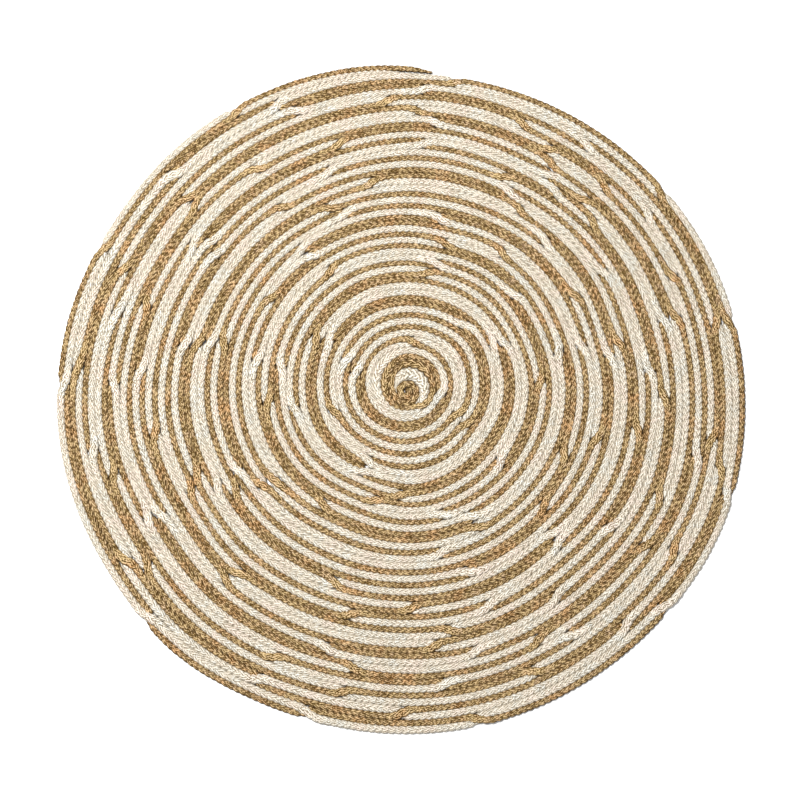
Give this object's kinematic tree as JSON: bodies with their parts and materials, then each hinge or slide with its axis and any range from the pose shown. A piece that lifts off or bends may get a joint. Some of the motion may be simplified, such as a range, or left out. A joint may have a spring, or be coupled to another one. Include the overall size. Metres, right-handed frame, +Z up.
{
  "type": "round braided jute and cotton rug",
  "caption": "Round flat rug coiled from flat jute and cotton braids sewn edge to edge, in uneven rings of tan and cream with a slightly wavy rim.",
  "frame": {"origin": "centre of the bounding box in plan, at the height of the underside, on the floor", "axes": "+Z up, out of the top of the rug; +X to the right and +Y to the top of the rug as seen from above in the picture"},
  "size_m": [1.196, 1.1614, 0.0102],
  "materials": {
    "jute": "matt natural jute yarn, flat three-strand plait",
    "cotton": "matt undyed cotton yarn, flat three-strand plait"
  },
  "bodies": {
    "root": {"jute_braid": "jute", "cotton_braid": "cotton"}
  },
  "joints": []
}
